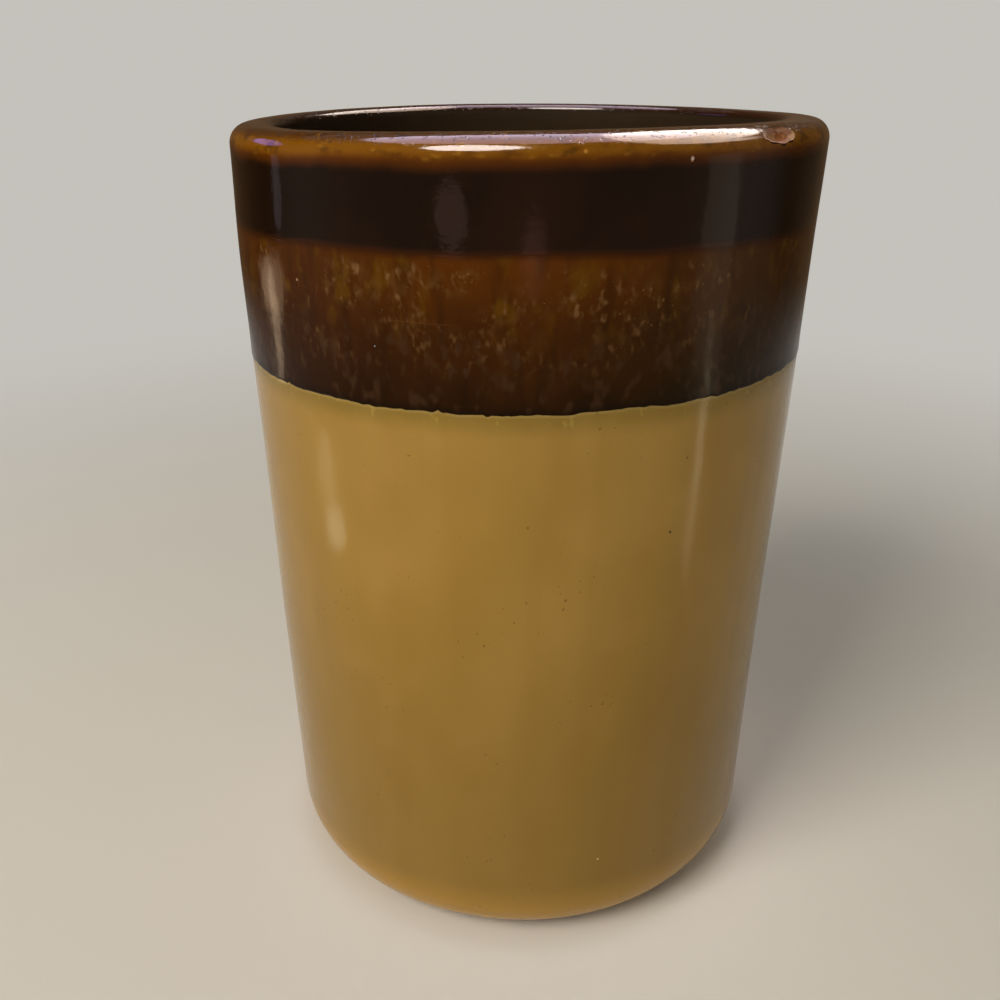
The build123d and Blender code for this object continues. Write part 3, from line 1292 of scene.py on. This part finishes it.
@dataclass
class GlazeCoats:
    """The four coats of glaze, each a closed skin that follows the clay."""

    form: CrockForm
    turner: TurnedSkin
    flaws: list[Flaw]
    tan_columns: int = 640
    amber_columns: int = 840
    dark_columns: int = 760
    liner_columns: int = 560
    face_spacing: float = 0.5 * MM
    tall_spacing: float = 1.3 * MM
    liner_spacing: float = 1.7 * MM
    back_spacing: float = 4.0 * MM
    lip_back_spacing: float = 1.6 * MM
    bead_height: float = 0.16 * MM
    bead_rise: float = 0.09 * MM
    bead_fade: float = 2.4 * MM

    BEAD_STEPS = (0.0, 0.03, 0.07, 0.13, 0.22, 0.36, 0.6, 0.9, 1.3)  # millimetres up from the edge

    def corner(self, side: Side, height: float, depth: float) -> tuple[float, float]:
        """Radius and height of a point on a face of the wall."""
        return self.form.radius(side, height, depth), height

    def end_at(self, path: list[tuple], height: float) -> list[tuple]:
        """Cuts a path that runs downwards off at a height.

        Args:
            path: Points as radius and height, from the top down.
            height: Where it ends.

        Returns:
            The points above that height, and one on it.
        """
        kept = [p for p in path if p[1] > height + 0.05 * MM]
        above, below = kept[-1], path[len(kept)]
        share = (above[1] - height) / (above[1] - below[1])
        return kept + [(above[0] + (below[0] - above[0]) * share, height)]

    def tan(self) -> bpy.types.Object:
        """Builds the ochre coat on the lower outside.

        Returns:
            The piece.
        """
        form = self.form
        line, end = form.amber_line, form.bare_foot
        face = rounded_path([self.corner(Side.OUTSIDE, line, 0.0), self.corner(Side.OUTSIDE, 0.0, 0.0),
                             (0.0, 0.0)], [form.heel_radius], self.tall_spacing)
        back = rounded_path([self.corner(Side.OUTSIDE, line + form.lap, form.coat),
                             self.corner(Side.OUTSIDE, 0.0, form.coat), (0.0, 0.0)],
                            [form.heel_radius - form.coat], self.back_spacing)
        path = self.end_at(face, end) + self.end_at(back, end)[::-1]
        return self.turner.make("tan_coat", path, True, self.tan_columns, OchreGlaze(form).build())

    def amber(self) -> bpy.types.Object:
        """Builds the mottled band, with a slight bead along its lower edge.

        Returns:
            The piece.
        """
        form = self.form
        low, high = form.amber_line, form.dark_line
        heights = [low + step * MM for step in self.BEAD_STEPS]
        steps = math.ceil((high - heights[-1]) / self.face_spacing)
        heights += [heights[-1] + (high - heights[-1]) * (i + 1) / steps for i in range(steps)]
        face = []
        for height in heights:
            up = height - low
            proud = self.bead_height * (1 - math.exp(-up / self.bead_rise)) * math.exp(-up / self.bead_fade)
            face.append((form.radius(Side.OUTSIDE, height) + proud, height))
        back = rounded_path([self.corner(Side.OUTSIDE, high + form.lap, form.coat),
                             self.corner(Side.OUTSIDE, low + form.lap, form.coat)], [], self.back_spacing)
        return self.turner.make("amber_coat", face + back, True, self.amber_columns,
                                AmberGlaze(form).build())

    def dark(self) -> bpy.types.Object:
        """Builds the near-black coat over the lip, and breaks the chips out of it.

        Returns:
            The piece.
        """
        form = self.form
        corners, radii = form.lip_corners(0.0)
        face = rounded_path([self.corner(Side.INSIDE, form.liner_line, 0.0), *corners,
                             self.corner(Side.OUTSIDE, form.dark_line, 0.0)], radii, self.face_spacing)
        corners, radii = form.lip_corners(form.coat)
        back = rounded_path([self.corner(Side.INSIDE, form.liner_line + form.lap, form.coat), *corners,
                             self.corner(Side.OUTSIDE, form.dark_line + form.lap, form.coat)],
                            radii, self.lip_back_spacing)
        piece = self.turner.make("dark_coat", face + back[::-1], True, self.dark_columns,
                                 DarkGlaze(form).build())
        cut_away(piece, self.flaws)
        return piece

    def liner(self) -> bpy.types.Object:
        """Builds the coat poured inside.

        Returns:
            The piece.
        """
        form = self.form
        floor, deep = form.floor, form.coat
        face = rounded_path([(0.0, floor), self.corner(Side.INSIDE, floor, 0.0),
                             self.corner(Side.INSIDE, form.liner_line, 0.0)],
                            [form.corner_radius], self.liner_spacing)
        back = rounded_path([self.corner(Side.INSIDE, form.liner_line + form.lap, deep),
                             self.corner(Side.INSIDE, floor - deep, deep), (0.0, floor - deep)],
                            [form.corner_radius + deep], 2 * self.back_spacing)
        rings = ThrowingRings(ring_depth=0.16 * MM, ring_spacing=5.2 * MM, ring_top=22.0 * MM)
        return self.turner.make("liner_coat", face + back, False, self.liner_columns,
                                LinerGlaze(form).build(), rings)


@dataclass(frozen=True)
class Lamp:
    """A soft lamp, or a pane that only shows as a reflection in the glaze.

    Attributes:
        name: What it is called.
        turn: Angle round the crock in degrees.
        away: Level distance from the axis.
        height: Height above the table.
        size: Width and height of its face.
        watts: Its power.
        colour: Colour of its light.
        shows: Whether it lights the crock, or is only reflected in it.
        round_ends: Whether its face is an ellipse.
    """

    name: str
    turn: float
    away: float
    height: float
    size: tuple[float, float]
    watts: float
    colour: str
    shows: Shows
    round_ends: bool = False

    AIM_HEIGHT = 0.13

    def hang(self) -> None:
        """Hangs the lamp, turned to the upper part of the crock, or level if it is a low pane."""
        data = bpy.data.lights.new(self.name, "AREA")
        data.shape = "ELLIPSE" if self.round_ends else "RECTANGLE"
        data.size, data.size_y = self.size
        data.energy = self.watts
        data.color = linear(self.colour)[:3]
        lamp = bpy.data.objects.new(self.name, data)
        around = math.radians(self.turn)
        place = Vector((math.sin(around) * self.away, -math.cos(around) * self.away, self.height))
        aim = Vector((0.0, 0.0, min(self.height, self.AIM_HEIGHT)))
        lamp.location = place
        lamp.rotation_euler = (aim - place).to_track_quat("-Z", "Y").to_euler()
        lamp.visible_camera = False
        lamp.visible_diffuse = self.shows is Shows.LIGHT
        lamp.visible_glossy = self.shows is Shows.REFLECTION
        bpy.context.scene.collection.objects.link(lamp)


@dataclass
class Studio:
    """Plain pale floor and backdrop, a brown scrim behind the crock, soft lamps and the camera.

    The turns of the scrim and the camera are in degrees. The floor glows by itself, to the eye only,
    from the first distance of glow_from on and in full from the second.
    """

    floor_radius: float = 1.3
    sweep_radius: float = 0.7
    sweep_spacing: float = 0.06
    sweep_steps: int = 96
    wall_height: float = 1.5
    floor_colour: str = "#DEDBD4"
    floor_glow: float = 0.76
    glow_from: tuple[float, float] = (0.12, 0.60)
    room_colour: str = "#F6F3EE"
    room_strength: float = 0.37
    scrim_turn: float = 105.0
    scrim_away: float = 0.40
    scrim_low: float = 0.001
    scrim_high: float = 0.475
    scrim_strips: int = 48
    scrim_colour: str = "#705E4B"
    scrim_ends: tuple[float, float] = (-0.10, 0.12)
    scrim_hem: tuple[float, float] = (0.0, 0.08)
    lens: float = 36.05
    camera_away: float = 231.4 * MM
    camera_height: float = 186.0 * MM
    camera_turn: float = 1.327
    camera_down: float = 23.204
    camera_roll: float = 0.127
    lamps: tuple[Lamp, ...] = (
        Lamp("key", -42.0, 0.95, 0.85, (0.6, 0.6), 10.7, "#FFF6E8", Shows.LIGHT),
        Lamp("window", -24.0, 0.84, 1.03, (0.68, 0.56), 92.0, "#E6F1FF", Shows.REFLECTION, True),
        Lamp("side_window", 108.0, 0.86, 1.28, (2.00, 1.14), 160.0, "#FFF3EA", Shows.REFLECTION, True),
        Lamp("ceiling", 180.0, 0.12, 1.45, (1.80, 1.45), 130.0, "#DACFF0", Shows.REFLECTION, True),
        Lamp("left_glow", -113.3, 0.373, 0.307, (0.152, 0.076), 0.101, "#AB90FF", Shows.REFLECTION, True),
        Lamp("left_pane", -102.6, 0.263, 0.101, (0.080, 0.030), 0.0135, "#FFDCB4", Shows.REFLECTION, True),
        Lamp("left_tail", -102.8, 0.263, 0.086, (0.028, 0.050), 0.0110, "#FFE0BC", Shows.REFLECTION, True),
        Lamp("left_haze", -93.5, 0.241, 0.145, (0.022, 0.030), 0.0012, "#D8CCE0", Shows.REFLECTION, True),
        Lamp("tan_pane", -69.0, 0.146, 0.053, (0.024, 0.016), 0.0040, "#FFF4CC", Shows.REFLECTION, True),
        Lamp("tan_haze", -71.5, 0.148, 0.072, (0.020, 0.022), 0.0024, "#FFF0C4", Shows.REFLECTION, True),
        Lamp("right_pane", 68.8, 0.349, 0.097, (0.085, 0.112), 0.030, "#F2EADC", Shows.REFLECTION),
        Lamp("right_slit", 64.5, 0.200, 0.055, (0.008, 0.10), 0.010, "#F6EBCC", Shows.REFLECTION, True),
        Lamp("low_pane", -21.6, 0.1815, 0.141, (0.031, 0.020), 0.0030, "#F0CCD0", Shows.REFLECTION, True),
        Lamp("low_slit", 2.7, 0.182, 0.129, (0.019, 0.024), 0.0022, "#F0B8C8", Shows.REFLECTION, True),
    )

    def stage(self) -> None:
        """Makes the floor, which sweeps up all round into the backdrop."""
        outer = self.floor_radius + self.sweep_radius
        path = rounded_path([(0.0, 0.0), (outer, 0.0), (outer, self.wall_height)],
                            [self.sweep_radius], self.sweep_spacing)
        shape = bmesh.new()
        points = [shape.verts.new((r, 0.0, z)) for r, z in path]
        edges = [shape.edges.new(pair) for pair in zip(points, points[1:])]
        bmesh.ops.spin(shape, geom=points + edges, cent=(0, 0, 0), axis=(0, 0, 1),
                       angle=2 * math.pi, steps=self.sweep_steps, use_merge=True)
        bmesh.ops.remove_doubles(shape, verts=shape.verts, dist=0.1 * MM)
        bmesh.ops.recalc_face_normals(shape, faces=shape.faces)
        for face in shape.faces:
            face.smooth = True
        mesh = bpy.data.meshes.new("floor")
        shape.to_mesh(mesh)
        shape.free()
        mesh.materials.append(self.paper())
        floor = bpy.data.objects.new("floor", mesh)
        bpy.context.scene.collection.objects.link(floor)

    def scrim(self) -> None:
        """Bends a brown scrim round the back, which only the glaze sees, to keep its edges dark."""
        strips = self.scrim_strips
        turns = [math.radians(self.scrim_turn) * (2 * strip / strips - 1) for strip in range(strips + 1)]
        corners = [(math.sin(turn) * self.scrim_away, math.cos(turn) * self.scrim_away, height)
                   for turn in turns for height in (self.scrim_low, self.scrim_high)]
        mesh = bpy.data.meshes.new("scrim")
        mesh.from_pydata(corners, [], [(2 * strip, 2 * strip + 2, 2 * strip + 3, 2 * strip + 1)
                                       for strip in range(strips)])
        mesh.materials.append(self.gauze())
        scrim = bpy.data.objects.new("scrim", mesh)
        scrim.visible_camera = False
        scrim.visible_diffuse = False
        scrim.visible_transmission = False
        scrim.visible_shadow = False
        bpy.context.scene.collection.objects.link(scrim)

    def gauze(self) -> bpy.types.Material:
        """Brown cotton gauze, which thins out to nothing at its two ends and at its lower edge.

        Returns:
            The material.
        """
        material = bpy.data.materials.new("brown_gauze")
        material.use_nodes = True
        tree = material.node_tree
        shader = tree.nodes["Principled BSDF"]
        shader.inputs["Base Color"].default_value = linear(self.scrim_colour)
        shader.inputs["Roughness"].default_value = 1.0
        shader.inputs["Specular IOR Level"].default_value = 0.0
        place = add_node(tree, "ShaderNodeTexCoord").outputs["Object"]
        parts = add_node(tree, SPLIT, {0: place}).outputs
        inward, upward = (
            add_node(tree, RANGE, {0: parts[axis], "From Min": low, "From Max": high},
                     interpolation_type="SMOOTHSTEP")
            for axis, (low, high) in (("Y", self.scrim_ends), ("Z", self.scrim_hem)))
        share = add_node(tree, MATH, {0: inward, 1: upward}, operation="MULTIPLY")
        clear = add_node(tree, "ShaderNodeBsdfTransparent")
        mixed = add_node(tree, "ShaderNodeMixShader", {0: share, 1: clear, 2: shader})
        tree.links.new(mixed.outputs[0], tree.nodes["Material Output"].inputs["Surface"])
        return material

    def paper(self) -> bpy.types.Material:
        """Matt backdrop paper, which stays as pale far from the lamps as it is near the crock.

        Returns:
            The material.
        """
        material = bpy.data.materials.new("matt_paper")
        material.use_nodes = True
        tree = material.node_tree
        shader = tree.nodes["Principled BSDF"]
        shader.inputs["Base Color"].default_value = linear(self.floor_colour)
        shader.inputs["Roughness"].default_value = 0.9
        shader.inputs["Specular IOR Level"].default_value = 0.0
        place = add_node(tree, "ShaderNodeTexCoord").outputs["Object"]
        away = add_node(tree, VECTOR, {0: place}, operation="LENGTH").outputs["Value"]
        near_edge, far_edge = self.glow_from
        far = add_node(tree, RANGE, {0: away, "From Min": near_edge, "From Max": far_edge},
                       interpolation_type="SMOOTHSTEP")
        path = add_node(tree, "ShaderNodeLightPath").outputs
        direct = add_node(tree, MATH, {0: path["Is Camera Ray"], 1: path["Is Glossy Ray"]},
                          operation="MAXIMUM")
        seen = add_node(tree, MATH, {0: direct, 1: path["Is Transmission Ray"]}, operation="MAXIMUM")
        share = add_node(tree, MATH, {0: far, 1: seen}, operation="MULTIPLY")
        glow = add_node(tree, "ShaderNodeEmission", {
            "Color": linear(self.floor_colour), "Strength": self.floor_glow})
        mixed = add_node(tree, "ShaderNodeMixShader", {0: share, 1: shader, 2: glow})
        tree.links.new(mixed.outputs[0], tree.nodes["Material Output"].inputs["Surface"])
        return material

    def light(self) -> None:
        """Sets the world and hangs the lamps."""
        world = bpy.data.worlds.new("soft_room")
        world.use_nodes = True
        background = world.node_tree.nodes["Background"]
        background.inputs["Color"].default_value = linear(self.room_colour)
        background.inputs["Strength"].default_value = self.room_strength
        bpy.context.scene.world = world
        for lamp in self.lamps:
            lamp.hang()

    def camera(self) -> None:
        """Places the camera as it stood for the photograph."""
        data = bpy.data.cameras.new("camera")
        data.sensor_width = 36.0
        data.lens = self.lens
        data.clip_start = 0.01
        data.clip_end = 20.0
        camera = bpy.data.objects.new("camera", data)
        turn = Matrix.Rotation(math.radians(self.camera_turn), 4, "Z")
        tip = Matrix.Rotation(math.radians(90.0 - self.camera_down), 4, "X")
        roll = Matrix.Rotation(math.radians(self.camera_roll), 4, "Z")
        place = Matrix.Translation((0.0, -self.camera_away, self.camera_height))
        camera.matrix_world = place @ turn @ tip @ roll
        bpy.context.scene.collection.objects.link(camera)
        bpy.context.scene.camera = camera

    def build(self) -> None:
        """Builds the whole studio."""
        self.stage()
        self.scrim()
        self.light()
        self.camera()
        bpy.context.scene.view_settings.view_transform = "Standard"


def main() -> None:
    """Builds the crock and its studio, and reports each piece."""
    logging.basicConfig(level=logging.INFO, format="%(name)s: %(message)s")
    form = CrockForm.from_frame()
    turner = TurnedSkin(form, Firing())
    chip_place, chip_out = form.lip_point(45.6, 33.0)
    chip = Flaw("chip", chip_place, chip_out, across=6.3 * MM, tall=2.25 * MM, depth=1.50 * MM,
                rough=0.25 * MM, seed=3.0)
    nick_place, nick_out = form.wall_point(25.8, 172.8 * MM)
    nick = Flaw("nick", nick_place, nick_out, across=0.40 * MM, tall=0.65 * MM, depth=0.20 * MM,
                rough=0.04 * MM, seed=8.0)
    flake_place, flake_out = form.lip_point(62.0, 58.0)
    flake = Flaw("flake", flake_place, flake_out, across=0.9 * MM, tall=0.6 * MM, depth=0.32 * MM,
                 rough=0.08 * MM, seed=5.0)
    body = ClayBody(form, turner, [chip])
    coats = GlazeCoats(form, turner, [chip, nick, flake])
    makers = (
        (body.build, "stoneware_body", "stoneware"),
        (coats.tan, "tan_glaze", "tan_glaze"),
        (coats.amber, "amber_glaze", "amber_glaze"),
        (coats.dark, "dark_glaze", "dark_glaze"),
        (coats.liner, "liner_glaze", "liner_glaze"),
    )
    for make, node, slot in makers:
        piece = make()
        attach(piece, "root")
        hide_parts(node)
        triangles = sum(len(face.vertices) - 2 for face in piece.data.polygons)
        log.info("%s stands for %s with %d triangles", piece.name, node, triangles)
    Studio().build()


if __name__ == "__main__":
    main()
